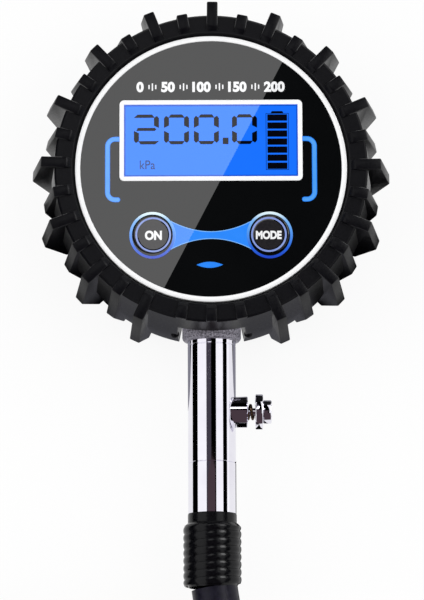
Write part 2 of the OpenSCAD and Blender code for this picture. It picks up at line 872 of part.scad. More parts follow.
module hose() {
    line = curve_points(hose_route, route_steps);
    last = len(line) - 1;
    into_chuck = [cos(chuck_turn), sin(chuck_turn), 0];
    color("#23242c") {
        stem_axis() tube(hose_r, hose_bore_r, hose_start_s, sleeve_end_s + eps);
        sweep([for (i = [0 : last])
            ring(line[i], i == 0 ? [0, -1, 0] : i == last ? into_chuck : direction(line, i),
                [0, 0, 1], hose_facet_r, hose_sides)]);
        chuck_axis() tube(hose_r, hose_bore_r, -eps, sleeve_in_l - 0.3);
    }
}

// Chuck
module chuck_sleeve() {
    chamfer = 0.8;
    color(rubber_black) chuck_axis() difference() {
        rotate_extrude() polygon([
            [0, 0], [chuck_r - chamfer, 0], [chuck_r, chamfer],
            [chuck_r, chuck_sleeve_l], [0, chuck_sleeve_l]]);
        rod(hose_r + slack, -eps, sleeve_in_l);
        rod(barb_r + slack, 0, chuck_sleeve_l + eps);
    }
}

module chuck_body() {
    color(brass) chuck_axis() difference() {
        union() {
            translate([0, 0, chuck_sleeve_l]) {
                rotate([180, 0, 0]) barb(chuck_sleeve_l - 1);
                cylinder(r = hex_af / 2 / cos(30), h = hex_l, $fn = 6);
            }
            rod(body_r, hex_t, body_t);
            rod(plug_r, chuck_sleeve_l, plug_t);
        }
        rod(air_r, 0, plug_t);
        rod(depressor_base_r + slack, plug_t - depressor_base_l, plug_t + eps);
    }
}

module chuck_cap() {
    chamfer = 0.6;
    outer_r = chuck_r - 0.2;
    color(brass) chuck_axis() difference() {
        rotate_extrude() polygon([
            [0, body_t], [outer_r - chamfer, body_t], [outer_r, body_t + chamfer],
            [outer_r, chuck_end_t - chamfer], [outer_r - chamfer, chuck_end_t],
            [0, chuck_end_t]]);
        rod(plug_r + slack, body_t - eps, mouth_t);
        rod(mouth_r, mouth_t - eps, chuck_end_t + eps);
    }
}

module chuck_seal() {
    color("#2a2a2a") chuck_axis() tube(plug_r, chuck_seal_hole_r, plug_t, mouth_t);
}

module chuck_pin() {
    color(brass) chuck_axis() difference() {
        union() {
            rod(depressor_base_r, plug_t - depressor_base_l, plug_t);
            rod(depressor_r, plug_t - depressor_base_l, mouth_t - 0.2);
        }
        for (side = [-1, 1]) translate([side * 1.8, 0, 0])
            block(1.2, 1.2, plug_t - depressor_base_l - eps, plug_t + eps);
    }
}

rubber_boot();
front_case();
rear_case();
case_screws();
battery_door();
door_screw();
face_ring();
face_panel();
display_frame();
display_glass();
display_backlight();
display_connector();
circuit_board();
board_screws();
board_parts();
key_switches();
power_button();
mode_button();
power_switch_pin();
mode_switch_pin();
battery_cells();
battery_springs();
battery_contacts();
pressure_sensor();
sensor_seal();
inlet_port();
port_seal();
stem_upper();
stem_seal();
stem_lower();
bleed_seat();
bleed_seal();
bleed_spring();
bleed_button();
hose_sleeve();
hose();
chuck_sleeve();
chuck_body();
chuck_cap();
chuck_seal();
chuck_pin();
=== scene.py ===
from math import cos, sin, radians, pi

import bmesh
import bpy
from mathutils import Matrix, Quaternion, Vector


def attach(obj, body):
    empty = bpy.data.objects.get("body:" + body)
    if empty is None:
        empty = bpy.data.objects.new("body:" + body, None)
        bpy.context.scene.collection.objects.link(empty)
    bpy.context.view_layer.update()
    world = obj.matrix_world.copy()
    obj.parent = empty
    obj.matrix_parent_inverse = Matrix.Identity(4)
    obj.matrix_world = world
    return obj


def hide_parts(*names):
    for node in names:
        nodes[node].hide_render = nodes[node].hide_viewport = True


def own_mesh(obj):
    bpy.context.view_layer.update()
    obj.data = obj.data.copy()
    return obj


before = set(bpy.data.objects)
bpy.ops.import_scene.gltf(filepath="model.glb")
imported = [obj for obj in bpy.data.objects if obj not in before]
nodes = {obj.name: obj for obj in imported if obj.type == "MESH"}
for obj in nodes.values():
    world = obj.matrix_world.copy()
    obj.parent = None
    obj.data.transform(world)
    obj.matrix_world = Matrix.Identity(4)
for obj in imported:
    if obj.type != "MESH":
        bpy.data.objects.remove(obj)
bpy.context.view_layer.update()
scene = bpy.context.scene
mm = 0.001
alongX = Matrix(((0, 0, 1), (0, 1, 0), (-1, 0, 0)))    # turns a lathe's Z to the bleed valve's axis
downY = Matrix(((1, 0, 0), (0, 0, -1), (0, 1, 0)))     # turns a lathe's Z to the stem's axis

# Levels above the rest face that several pieces share, in millimetres
level = {"stem": 18.5, "panel": 34.9, "glass": 34.6, "keyTop": 35.2}


def linear(hexColour):
    channels = [int(hexColour[i:i + 2], 16) / 255 for i in (1, 3, 5)]
    return [c / 12.92 if c <= 0.04045 else ((c + 0.055) / 1.055) ** 2.4 for c in channels] + [1]


def addNode(material, kind, inputs=None, **settings):
    node = material.node_tree.nodes.new(kind)
    for name, value in settings.items():
        setattr(node, name, value)
    for name, value in (inputs or {}).items():
        if isinstance(value, bpy.types.NodeSocket):
            material.node_tree.links.new(value, node.inputs[name])
        else:
            node.inputs[name].default_value = value
    return node


def startMaterial(name, values):
    material = bpy.data.materials.new(name)
    material.use_nodes = True
    shader = material.node_tree.nodes["Principled BSDF"]
    for socket, value in values.items():
        shader.inputs[socket].default_value = value
    return material, shader


def connect(material, output, shader, socket):
    material.node_tree.links.new(output, shader.inputs[socket])


def patterned(name, values, dark, light, grain, bump=0.0, rough=None, detail=3.0):
    # grain is the size of the pattern in millimetres, bump its height in millimetres
    material, shader = startMaterial(name, values)
    place = addNode(material, "ShaderNodeTexCoord").outputs["Object"]
    noise = addNode(material, "ShaderNodeTexNoise",
                    {"Vector": place, "Scale": 1 / (grain * mm), "Detail": detail, "Roughness": 0.6})
    tone = addNode(material, "ShaderNodeMapRange",
                   {"Value": noise.outputs["Fac"], "From Min": 0.3, "From Max": 0.7})
    colour = addNode(material, "ShaderNodeMix",
                     {0: tone.outputs["Result"], 6: linear(dark), 7: linear(light)}, data_type="RGBA")
    connect(material, colour.outputs[2], shader, "Base Color")
    if bump:
        relief = addNode(material, "ShaderNodeBump",
                         {"Height": noise.outputs["Fac"], "Strength": 1.0, "Distance": bump * mm})
        connect(material, relief.outputs["Normal"], shader, "Normal")
    if rough:
        gloss = addNode(material, "ShaderNodeMapRange",
                        {"Value": noise.outputs["Fac"], "From Min": 0.3, "From Max": 0.7,
                         "To Min": rough[0], "To Max": rough[1]})
        connect(material, gloss.outputs["Result"], shader, "Roughness")
    return material


def placePiece(bm, name, body, finish, smooth=32):
    # bm is in millimetres, and the finished mesh in metres
    bmesh.ops.remove_doubles(bm, verts=bm.verts, dist=1e-4)
    bmesh.ops.recalc_face_normals(bm, faces=bm.faces)
    bmesh.ops.scale(bm, vec=(mm, mm, mm), verts=bm.verts)
    mesh = bpy.data.meshes.new(name)
    bm.to_mesh(mesh)
    bm.free()
    mesh.shade_smooth()
    mesh.set_sharp_from_angle(angle=radians(smooth))
    mesh.materials.append(finish)
    piece = bpy.data.objects.new(name, mesh)
    scene.collection.objects.link(piece)
    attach(piece, body)
    return piece


def lathe(bm, profile, turn=Matrix.Identity(3), centre=(0, 0, 0), steps=96, start=0.0, angle=2 * pi):
    # profile is a closed loop of (radius, height); turn takes the lathe's Z to the piece's axis
    known = set(bm.verts)
    whole = angle > 2 * pi - 1e-6
    corners = [bm.verts.new((r * cos(start), r * sin(start), z)) for r, z in profile]
    face = bm.faces.new(corners)
    swept = corners + list(face.edges)
    if whole:
        bm.faces.remove(face)    # a full turn needs no end faces
    else:
        swept.append(face)
    bmesh.ops.spin(bm, geom=swept, cent=(0, 0, 0), axis=(0, 0, 1), angle=angle, steps=steps,
                   use_merge=whole)
    bmesh.ops.transform(bm, matrix=Matrix.Translation(centre) @ turn.to_4x4(),
                        verts=[v for v in bm.verts if v not in known])


# camera, on the same side as the stem and 10.5 degrees off the dial's axis
view = {"place": (0.13, -196.6, 912.6), "direction": (0, 0.1822, -0.9833), "lens": 213, "roll": -0.2}
camera = bpy.data.objects.new("camera", bpy.data.cameras.new("camera"))
camera.data.lens = view["lens"]
camera.location = Vector(view["place"]) * mm
camera.rotation_mode = "QUATERNION"
camera.rotation_quaternion = (Vector(view["direction"]).to_track_quat("-Z", "Y")
                              @ Quaternion((0, 0, 1), radians(view["roll"])))
scene.collection.objects.link(camera)
scene.camera = camera
print("camera placed")

# hose: extruded rubber, black with a slight blue cast and a soft sheen
hose = {
    "diameter": 11.7, "length": 347,
    "route": [
        (0.5, -104.8, 18.5), (2.7, -119.7, 18.3), (4.0, -134.7, 16.9), (4.8, -149.7, 14.7),
        (4.9, -164.8, 11.9), (4.4, -179.8, 9.2), (1.3, -194.5, 7.1), (-5.5, -207.9, 6.1),
        (-15.4, -219.2, 5.9), (-28, -227.5, 5.9), (-42.2, -232.3, 5.9), (-57.2, -233.3, 5.9),
        (-71.9, -230.4, 5.9), (-85.4, -223.8, 5.9), (-96.8, -214, 5.9), (-105.3, -201.6, 5.9),
        (-110.3, -187.4, 5.9), (-111.5, -172.4, 5.9), (-108.8, -157.7, 5.9),
        (-102.5, -144.1, 5.9), (-92.8, -132.5, 6.1), (-80.5, -123.9, 6.6), (-66.5, -118.7, 7.1),
        (-51.5, -117.2, 7.3)],
}
hoseRubber = patterned("extrudedEpdmRubber", {"Specular IOR Level": 0.15}, "#12111b", "#1c1a28",
                       grain=1.1, bump=0.02, rough=(0.3, 0.42))
hoseCurve = bpy.data.curves.new("hose_run", "CURVE")
hoseCurve.dimensions = "3D"
hoseCurve.bevel_depth = hose["diameter"] / 2 * mm
hoseCurve.bevel_resolution = 10
hoseCurve.use_fill_caps = True
hoseCurve.resolution_u = 8
line = hoseCurve.splines.new("BEZIER")
line.bezier_points.add(len(hose["route"]) - 1)
for knot, place in zip(line.bezier_points, hose["route"]):
    knot.co = Vector(place) * mm
    knot.handle_left_type = knot.handle_right_type = "AUTO"
hoseCurve.materials.append(hoseRubber)
hosePiece = bpy.data.objects.new("hose_run", hoseCurve)
scene.collection.objects.link(hosePiece)
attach(hosePiece, "gauge")
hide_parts("hose")
print("hose laid")

# finishes
# moulded nitrile rubber: near black, soft highlights on the edges, fine pebble grain
bootRubber = patterned("mouldedNitrileRubber", {"Specular IOR Level": 0.12}, "#040407", "#0a0a0f",
                       grain=0.5, bump=0.02, rough=(0.32, 0.42))
# textured ABS: matt charcoal with spark-eroded grain
caseAbs = patterned("texturedAbs", {"Specular IOR Level": 0.3}, "#141416", "#1d1d20",
                    grain=0.4, bump=0.03, rough=(0.55, 0.7))
# glossy ABS: clean white with a tight highlight
whiteAbs = patterned("glossyWhiteAbs", {"Specular IOR Level": 0.5}, "#f9fafb", "#fdfdfe",
                     grain=6, rough=(0.2, 0.3))
# cast acrylic over black ink: mirror-like, reflects the lamps sharply
acrylic = patterned("blackBackedAcrylic", {"Specular IOR Level": 0.5}, "#090a0b", "#0c0d0e",
                    grain=20, rough=(0.0, 0.004))
# polished ABS of the keys: black and mirror-like
keyAbs = patterned("polishedKeyAbs", {"Specular IOR Level": 0.5}, "#060608", "#0a0a0c",
                   grain=2, rough=(0.0, 0.01))
# grey ink on the keys' tops: a shade lighter than the cap, under the same gloss
keyFace = patterned("greyKeyInk", {"Specular IOR Level": 0.5}, "#201f22", "#2b292c",
                    grain=0.6, rough=(0.0, 0.02))
# bright chrome plate over brass: mirror finish with faint handling marks
chromePlate = patterned("chromePlatedBrass", {"Metallic": 1.0}, "#e2e0ea", "#ecebf2",
                        grain=9, rough=(0.02, 0.05))
# zinc die casting, as cast and tumbled: grey, rough, with sparkling grains
castZinc = patterned("tumbledZincCasting", {"Metallic": 0.8}, "#1d1a28", "#c9c5d2",
                     grain=0.45, bump=0.35, rough=(0.22, 0.45), detail=6)
# turned brass, a little dulled
turnedBrass = patterned("turnedBrass", {"Metallic": 1.0}, "#a98439", "#c9a45a",
                        grain=3, rough=(0.18, 0.3))
# phosphor bronze wire with a dark patina
springBronze = patterned("phosphorBronzeWire", {"Metallic": 1.0}, "#2f251c", "#6a5440",
                         grain=0.8, rough=(0.2, 0.35))
# zinc plate on steel: cool grey with soft variation
zincPlate = patterned("zincPlatedSteel", {"Metallic": 1.0}, "#8f9296", "#b4b7ba",
                      grain=2, rough=(0.28, 0.4))
# moulded PVC of the hose sleeve: black, with narrow bright highlights on its rib
sleeveRubber = patterned("mouldedPvcRubber", {"Specular IOR Level": 0.2}, "#050507", "#0c0c10",
                         grain=0.6, bump=0.015, rough=(0.16, 0.24))
# moulded silicone of the seals: dull black
sealRubber = patterned("siliconeSeal", {"Specular IOR Level": 0.4}, "#141414", "#1e1e1e",
                       grain=0.8, rough=(0.5, 0.6))
# solder mask: glossy dark green
boardMask = patterned("solderMask", {"Specular IOR Level": 0.5}, "#0b3a1b", "#155227",
                      grain=2, rough=(0.3, 0.4))
# moulded epoxy of chips and switches: matt dark grey
chipEpoxy = patterned("mouldedEpoxy", {"Specular IOR Level": 0.4}, "#1c1c1f", "#28282b",
                      grain=0.4, rough=(0.5, 0.6))
# frosted polycarbonate behind the display: pale and milky
lightGuide = patterned("frostedPolycarbonate", {"Specular IOR Level": 0.5}, "#cfe0f5", "#e4eefb",
                       grain=2, rough=(0.3, 0.4))
# the lit display: an even saturated blue under glass
displayGlass = patterned("litDisplayGlass", {"Specular IOR Level": 0.78, "Emission Strength": 0.72,
                                             "Specular Tint": (0.65, 1.0, 1.0, 1.0),
                                             "Emission Color": linear("#1274ff")},
                         "#123a96", "#153f9f", grain=12, rough=(0.0, 0.004))
# printing inks under gloss lacquer
whiteInk = patterned("whiteScreenInk", {"Specular IOR Level": 0.5}, "#f2f3f5", "#fafbfc",
                     grain=3, rough=(0.01, 0.03))
blueInk = patterned("blueScreenInk", {"Specular IOR Level": 0.5}, "#2a86fa", "#338dff",
                    grain=8, rough=(0.0, 0.006))
edgeInk = patterned("edgeBlueScreenInk", {"Specular IOR Level": 0.5}, "#76b4ff", "#84beff",
                    grain=8, rough=(0.0, 0.006))
paleInk = patterned("lavenderScreenInk", {"Specular IOR Level": 0.5}, "#7f93d6", "#91a6e4",
                    grain=8, rough=(0.01, 0.02))
bracketInk = patterned("lightBlueScreenInk", {"Specular IOR Level": 0.5}, "#4b9cf2", "#5aa8f7",
                       grain=8, rough=(0.0, 0.006))
# painted shade: a deep blue line round the display's window that stands in for the frame's shadow on
# the glass; and the display's faint marks
paintedEdgeShadeInk = patterned("paintedWindowEdgeShade", {"Specular IOR Level": 0.5}, "#0f4fc4", "#145ad2",
                     grain=6, rough=(0.0, 0.006))
markInk = patterned("slateBlueMask", {"Specular IOR Level": 0.5}, "#0c2a5c", "#123368",
                    grain=6, rough=(0.0, 0.006))
# liquid crystal segments: nearly black, under the same gloss as the glass
segmentInk = patterned("liquidCrystal", {"Specular IOR Level": 0.27}, "#04050c", "#080913",
                       grain=4, rough=(0.0, 0.006))


def graded(name, values, bottom, top, stops):
    # colours that run along Y between two heights in millimetres
    material, shader = startMaterial(name, values)
    place = addNode(material, "ShaderNodeTexCoord").outputs["Object"]
    parts = addNode(material, "ShaderNodeSeparateXYZ", {0: place})
    share = addNode(material, "ShaderNodeMapRange",
                    {"Value": parts.outputs["Y"], "From Min": bottom * mm, "From Max": top * mm})
    ramp = addNode(material, "ShaderNodeValToRGB", {"Fac": share.outputs["Result"]})
    colours = ramp.color_ramp.elements
    while len(colours) < len(stops):
        colours.new(0.5)
    for element, (position, colour) in zip(colours, stops):
        element.position = position
        element.color = linear(colour)
    connect(material, ramp.outputs["Color"], shader, "Base Color")
    return material


# ring round each key: shaded ink from deep blue at the bottom to near white at the top
ringInk = graded("shadedBlueScreenInk", {"Roughness": 0.01, "Specular IOR Level": 0.5}, -23, -11,
                 [(0.0, "#2448c8"), (0.22, "#2f6ae0"), (0.55, "#5a9df2"), (0.78, "#7db8f6"),
                  (0.93, "#dff6ff"), (1.0, "#f2fdff")])

cadFinishes = {
    "front_case": caseAbs, "rear_case": caseAbs, "battery_door": caseAbs, "face_ring": whiteAbs,
    "display_frame": whiteAbs, "face_panel": acrylic, "display_glass": displayGlass,
    "display_backlight": lightGuide, "display_connector": sealRubber, "circuit_board": boardMask,
    "board_parts": chipEpoxy, "key_switches": chipEpoxy, "power_switch_pin": chipEpoxy,
    "mode_switch_pin": chipEpoxy, "power_button": keyAbs, "mode_button": keyAbs,
    "inlet_port": castZinc, "stem_upper": chromePlate, "stem_lower": chromePlate,
    "bleed_button": chromePlate, "bleed_seat": turnedBrass, "chuck_body": turnedBrass,
    "chuck_cap": turnedBrass, "chuck_pin": turnedBrass, "bleed_spring": springBronze,
    "hose_sleeve": sleeveRubber, "chuck_sleeve": sleeveRubber, "rubber_boot": bootRubber,
}
for name, node in nodes.items():
    finish = cadFinishes.get(name, sealRubber if name.endswith("_seal") else zincPlate)
    if not node.material_slots:
        node.data.materials.append(finish)
    for holder in node.material_slots:
        holder.material = finish
for name in ("chuck_body", "chuck_cap"):    # out of the stem's and sleeve's reflections
    nodes[name].visible_glossy = False
print("finishes assigned")

# boot: a round wall with a bevelled lip, tread lugs and a notch for the inlet port
boot = {
    "lipInner": 34.6, "lip": 35.3, "edge": 39.7, "chamfer": 0.5, "crown": 41.1, "crownZ": 18.5,
    "inner": 38.05, "rearInner": 35.65, "taperZ": 16, "shoulders": (3, 34), "lips": (1, 36),
    "front": 37, "barInner": 36.5, "lugRoot": 39.0, "lugWidth": 2.75, "lugCount": 16,
    "lugShare": 0.985, "lugTurn": radians(-0.6), "longTip": 43, "longBack": 41, "longCrown": 46,
    "shortTip": 40.3, "shortCrown": 43.5, "edgeRound": 0.32, "notchHalf": 8.5,
    "notchAngle": radians(12.3), "notchTop": 27, "bead": 1.1,
}


def addLug(bm, angle, tip, crown, back):
    b = boot
    outline = [(b["lip"], b["lips"][1]), (b["barInner"], b["front"]), (tip, b["front"]),
               (crown, b["crownZ"]), (back, 0), (b["barInner"], 0), (b["lip"], b["lips"][0]),
               (b["lugRoot"], b["shoulders"][0] - 0.5), (b["lugRoot"], b["shoulders"][1] + 0.5)]
    addBar(bm, angle, outline)


def addBar(bm, angle, outline):
    corners = [bm.verts.new((r, -boot["lugWidth"] / 2, z)) for r, z in outline]
    face = bm.faces.new(corners)
    grown = bmesh.ops.extrude_face_region(bm, geom=[face])["geom"]
    far = [v for v in grown if isinstance(v, bmesh.types.BMVert)]
    bmesh.ops.translate(bm, vec=(0, boot["lugWidth"], 0), verts=far)
    block = corners + far
    edges = list({edge for vertex in block for edge in vertex.link_edges})
    bmesh.ops.recalc_face_normals(bm, faces=list({f for v in block for f in v.link_faces}))
    rounded = bmesh.ops.bevel(bm, geom=edges, offset=boot["edgeRound"], offset_type="OFFSET",
                              segments=2, profile=0.5, affect="EDGES", material=-1)
    turned = {v for f in rounded["faces"] for v in f.verts} | {v for v in block if v.is_valid}
    bmesh.ops.rotate(bm, cent=(0, 0, 0), matrix=Matrix.Rotation(angle, 3, "Z"),
                     verts=list(turned))


def buildBoot():
    b = boot
    bm = bmesh.new()
    low, high = b["lips"]
    outer = [(b["lipInner"], b["shoulders"][1]), (b["lip"], high), (b["edge"] - b["chamfer"], high),
             (b["edge"], high - b["chamfer"])]
    waist = [(b["crown"], b["crownZ"])]
    under = [(b["edge"], low + b["chamfer"]), (b["edge"] - b["chamfer"], low), (b["lip"], low),
             (b["lipInner"], b["shoulders"][0]), (b["rearInner"], b["shoulders"][0]),
             (b["inner"], b["taperZ"])]
    inside = (b["inner"], b["shoulders"][1])
    notch, notchTop = b["notchAngle"], b["notchTop"]
    lathe(bm, outer + waist + under + [inside], start=notch - pi / 2, angle=2 * pi - 2 * notch,
          steps=172)
    # over the notch the wall ends at the notch's top, part of the way from edge to crown
    edgeEnd = high - b["chamfer"]
    fall = (edgeEnd - notchTop) / (edgeEnd - b["crownZ"])
    outerAtNotch = b["edge"] + (b["crown"] - b["edge"]) * fall
    lathe(bm, outer + [(outerAtNotch, notchTop), (b["inner"], notchTop), inside],
          start=-pi / 2 - notch, angle=2 * notch, steps=12)
    # the lugs' pitch is a little under an even one, so the gap at the stem is wider
    half = b["lugCount"] // 2
    evenPitch = pi / half
    pitch = evenPitch * b["lugShare"]
    top = pi / 2 + b["lugTurn"]
    for i in range(1 - half, half):
        addLug(bm, top + i * pitch, b["longTip"], b["longCrown"], b["longBack"])
    for i in range(1 - half, half - 1):
        addLug(bm, top + (i + 0.5) * pitch, b["shortTip"], b["shortCrown"], b["shortTip"])
    # above the notch three flat bars stand in for lugs
    frontBar = [(b["lip"], high), (b["barInner"], b["front"]), (b["edge"], b["front"]),
                (b["edge"], high - 1), (b["lugRoot"], b["shoulders"][1] + 0.5)]
    for i in (-0.5, 0, 0.5):
        addBar(bm, i * evenPitch - pi / 2, frontBar)
    for side in (-1, 1):    # a bead at each side of the notch
        x = side * (b["notchHalf"] + b["bead"] * 0.8)
        y = -(b["crown"] ** 2 - x * x) ** 0.5 + b["bead"] * 0.2
        ball = bmesh.ops.create_uvsphere(bm, u_segments=24, v_segments=12, radius=b["bead"])
        bmesh.ops.translate(bm, vec=(x, y, b["crownZ"]), verts=ball["verts"])
    piece = placePiece(bm, "boot_with_lugs", "gauge", bootRubber)
    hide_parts("rubber_boot")
    piece.visible_glossy = False    # keeps the boot's dark wall out of the chrome


buildBoot()
print("boot built")


# sleeve on the hose: a plain collar, then one rib that winds nearly eight times, and a tapered end
def buildSleeve():
    s = {"start": 86.1, "collar": 6.2, "collarEnd": 88.5, "root": 7.05, "rib": 7.37, "pitch": 1.92,
         "turns": 7.7, "ribWidth": 1.76, "end": 104.8, "bore": 5.9, "steps": 48}
    bm = bmesh.new()
    centre = (0, 0, level["stem"])
    core = [(4.7, s["start"]), (s["collar"] - 0.2, s["start"]), (s["collar"], s["start"] + 0.2),
            (s["collar"], s["collarEnd"]), (s["root"], s["collarEnd"] + 0.7),
            (s["root"], s["end"] - 1.5), (6.5, s["end"] - 0.7), (5.98, s["end"]),
            (s["bore"], s["end"]),
            (s["bore"], s["collarEnd"] + 1), (4.7, s["collarEnd"] + 1)]
    lathe(bm, core, downY, centre, steps=96)
    half = s["ribWidth"] / 2
    first = s["collarEnd"] + half + 0.1
    section = [(s["root"] - 0.3, first - half), (s["root"] + 0.06, first - half),
               (s["rib"] - 0.12, first - half + 0.12), (s["rib"] - 0.03, first - half + 0.42),
               (s["rib"], first - half + 0.75), (s["rib"] - 0.02, first - half + 1.05),
               (s["rib"] - 0.14, first - half + 1.45), (s["root"] + 0.02, first + half),
               (s["root"] - 0.3, first + half)]
    corners = [bm.verts.new((r, 0, z)) for r, z in section]
    face = bm.faces.new(corners)
    known = set(bm.verts) - set(corners)
    steps = round(s["steps"] * s["turns"])
    bmesh.ops.spin(bm, geom=corners + list(face.edges) + [face], cent=(0, 0, 0), axis=(0, 0, 1),
                   dvec=(0, 0, s["pitch"] * s["turns"] / steps), angle=2 * pi * s["turns"],
                   steps=steps)
    rib = [v for v in bm.verts if v not in known]
    for v in rib:    # the rib grows out of the collar and fades at the sleeve's end
        limit = min(s["rib"], s["collar"] + 0.95 * (v.co.z - s["collarEnd"] + 0.2),
                    s["root"] + 0.5 * (s["end"] - 0.35 - v.co.z))
        reach = (v.co.x ** 2 + v.co.y ** 2) ** 0.5
        v.co.z = min(v.co.z, s["end"] - 0.3)
        if reach > limit:
            v.co.x, v.co.y = v.co.x * limit / reach, v.co.y * limit / reach
    bmesh.ops.transform(bm, matrix=Matrix.Translation(centre) @ downY.to_4x4(), verts=rib)
    piece = placePiece(bm, "ribbed_sleeve", "gauge", sleeveRubber)
    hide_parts("hose_sleeve")


buildSleeve()
print("sleeve built")


# stem: two plated tubes that meet at a fine seam, with a boss for the bleed button
def buildStem():
    s = {"radius": 6.125, "bore": 3, "top": 41.85, "groove": 42.9, "grooveDepth": 0.12,
         "seam": 73.2, "seamRound": 0.15, "end": 86.1}
    r, top, groove, seam, small = s["radius"], s["top"], s["groove"], s["seam"], s["seamRound"]
    grooved = r - s["grooveDepth"]
    centre = (0, 0, level["stem"])
    bm = bmesh.new()
    lathe(bm, [(s["bore"], top), (r - 0.05, top), (r, top + 0.05), (r, groove - 0.1),
               (grooved, groove), (grooved, groove + 0.15), (r, groove + 0.25), (r, seam - small),
               (r - small, seam), (s["bore"], seam)],
          downY, centre, steps=128)
    boss = {"place": (0, -60, level["stem"]), "bore": 1.3, "radius": 4, "root": 3, "end": 9.125,
            "mouth": 2.2, "seat": 7.6, "round": 0.25}
    lathe(bm, [(boss["bore"], boss["root"]), (boss["radius"], boss["root"]),
               (boss["radius"], boss["end"] - 0.225), (boss["radius"] - boss["round"], boss["end"]),
               (boss["mouth"], boss["end"]), (boss["mouth"], boss["seat"]),
               (boss["bore"], boss["seat"])],
          alongX, boss["place"], steps=96)
    upper = placePiece(bm, "stem_upper_plated", "gauge", chromePlate)
    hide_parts("stem_upper")
    bm = bmesh.new()
    lathe(bm, [(s["bore"], seam), (r - small, seam), (r, seam + small), (r, s["end"]),
               (s["bore"], s["end"])],
          downY, centre, steps=128)
    lower = placePiece(bm, "stem_lower_plated", "gauge", chromePlate)
    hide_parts("stem_lower")


buildStem()
print("stem built")


def copyNode(node):
    # a node's own shape in millimetres, with its loose triangles joined
    bm = bmesh.new()
    bm.from_mesh(nodes[node].data)
    bmesh.ops.scale(bm, vec=(1000, 1000, 1000), verts=bm.verts)
    bmesh.ops.remove_doubles(bm, verts=bm.verts, dist=1e-3)
    return bm


def dress(node, finish, softened=0.0, body="gauge"):
    # the node's shape with its edges softened
    bm = copyNode(node)
    bmesh.ops.dissolve_limit(bm, angle_limit=radians(0.5), verts=bm.verts, edges=bm.edges)
    if softened:
        sharp = [edge for edge in bm.edges
                 if len(edge.link_faces) == 2 and edge.calc_face_angle(0) > radians(35)]
        bmesh.ops.bevel(bm, geom=sharp, offset=softened, offset_type="OFFSET", segments=2,
                        profile=0.5, affect="EDGES", material=-1, clamp_overlap=True)
    bmesh.ops.triangulate(bm, faces=bm.faces)
    piece = placePiece(bm, node + "_softened", body, finish)
    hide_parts(node)


# inlet port: a rough zinc casting with a rounded end where the stem screws in
def buildPort():
    p = {"radius": 7.5, "end": 40.9, "nose": 41.9}
    bm = copyNode("inlet_port")
    lathe(bm, [(6.2, p["end"]), (p["radius"], p["end"]), (p["radius"] - 0.15, p["nose"] - 0.55),
               (p["radius"] - 0.5, p["nose"] - 0.15), (6.3, p["nose"]), (6.2, p["nose"])],
          downY, (0, 0, level["stem"]))
    piece = placePiece(bm, "inlet_port_cast", "gauge", castZinc)
    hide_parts("inlet_port")


# bleed valve: a spring and a plunger with a rounded flange and a small head
def buildBleedValve():
    v = {"pin": 1, "poppet": 1.9, "from": 1.3, "flange": 4.5, "flangeX": 11.025, "headX": 13.025,
         "head": 3, "end": 15.225, "coil": 1.75, "wire": 0.37, "turns": 5, "springX": 4.6}
    centre = (0, -60, level["stem"])
    f, x0, x1, h, x2 = v["flange"], v["flangeX"], v["headX"], v["head"], v["end"]
    bm = bmesh.new()
    lathe(bm, [(0, v["from"]), (v["poppet"], v["from"]), (v["poppet"], v["from"] + 0.8),
               (v["pin"], v["from"] + 0.8), (v["pin"], x0), (f - 0.25, x0), (f - 0.07, x0 + 0.08),
               (f, x0 + 0.26), (f, x1 - 0.26), (f - 0.07, x1 - 0.08), (f - 0.25, x1),
               (h - 0.12, x1), (h - 0.12, x1 + 0.16), (h, x1 + 0.22), (h, x2 - 0.35),
               (h - 0.1, x2 - 0.1), (h - 0.35, x2), (1.5, x2), (1.1, x2 - 0.18), (0, x2 - 0.26)],
          alongX, centre)
    button = placePiece(bm, "bleed_plunger_plated", "bleed_plunger", chromePlate)
    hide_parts("bleed_button")

    bm = bmesh.new()
    wire = bmesh.ops.create_circle(bm, cap_ends=True, segments=12, radius=v["wire"])
    bmesh.ops.rotate(bm, cent=(0, 0, 0), matrix=Matrix.Rotation(pi / 2, 3, "X"), verts=wire["verts"])
    bmesh.ops.translate(bm, vec=(v["coil"], 0, v["springX"] + v["wire"]), verts=wire["verts"])
    long = x0 - v["springX"] - 2 * v["wire"]
    steps = 28 * v["turns"]
    bmesh.ops.spin(bm, geom=wire["verts"] + bm.edges[:] + bm.faces[:], cent=(0, 0, 0),
                   axis=(0, 0, 1), dvec=(0, 0, long / steps), angle=2 * pi * v["turns"],
                   steps=steps)
    bmesh.ops.transform(bm, matrix=Matrix.Translation(centre) @ alongX.to_4x4(), verts=bm.verts)
    spring = placePiece(bm, "bleed_spring_coil", "gauge", springBronze)
    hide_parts("bleed_spring")
    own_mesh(spring)


buildPort()
buildBleedValve()
for node, finish, slot, softened in (
        ("display_frame", whiteAbs, "white_plastic", 0.2),
        ("battery_door", caseAbs, "case_plastic", 0.2), ("rear_case", caseAbs, "case_plastic", 0.0),
        ("case_screws", zincPlate, "steel", 0.12), ("door_screw", zincPlate, "steel", 0.12)):
    dress(node, finish, softened)
for node, body in (("power_button", "power_key"), ("mode_button", "mode_key")):
    dress(node, keyAbs, 0.12, body)


# white ring round the face panel, with rounded edges
def buildFaceRing():
    r = {"inner": 33.1, "outer": 34.45, "bottom": 33.4, "top": 35.1}
    low, high = r["top"] - 0.22, r["top"] - 0.06
    bm = bmesh.new()
    lathe(bm, [(r["inner"], r["bottom"]), (r["outer"], r["bottom"]), (r["outer"], low),
               (r["outer"] - 0.06, high), (r["outer"] - 0.2, r["top"]), (r["inner"] + 0.2, r["top"]),
               (r["inner"] + 0.06, high), (r["inner"], low)], steps=256)
    ring = placePiece(bm, "face_ring_moulded", "gauge", whiteAbs)
    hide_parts("face_ring")


buildFaceRing()
print("small parts built")


# printing on the dial and the display's segments are thin raised inks, 0.03 mm thick
inkDepth = 0.03


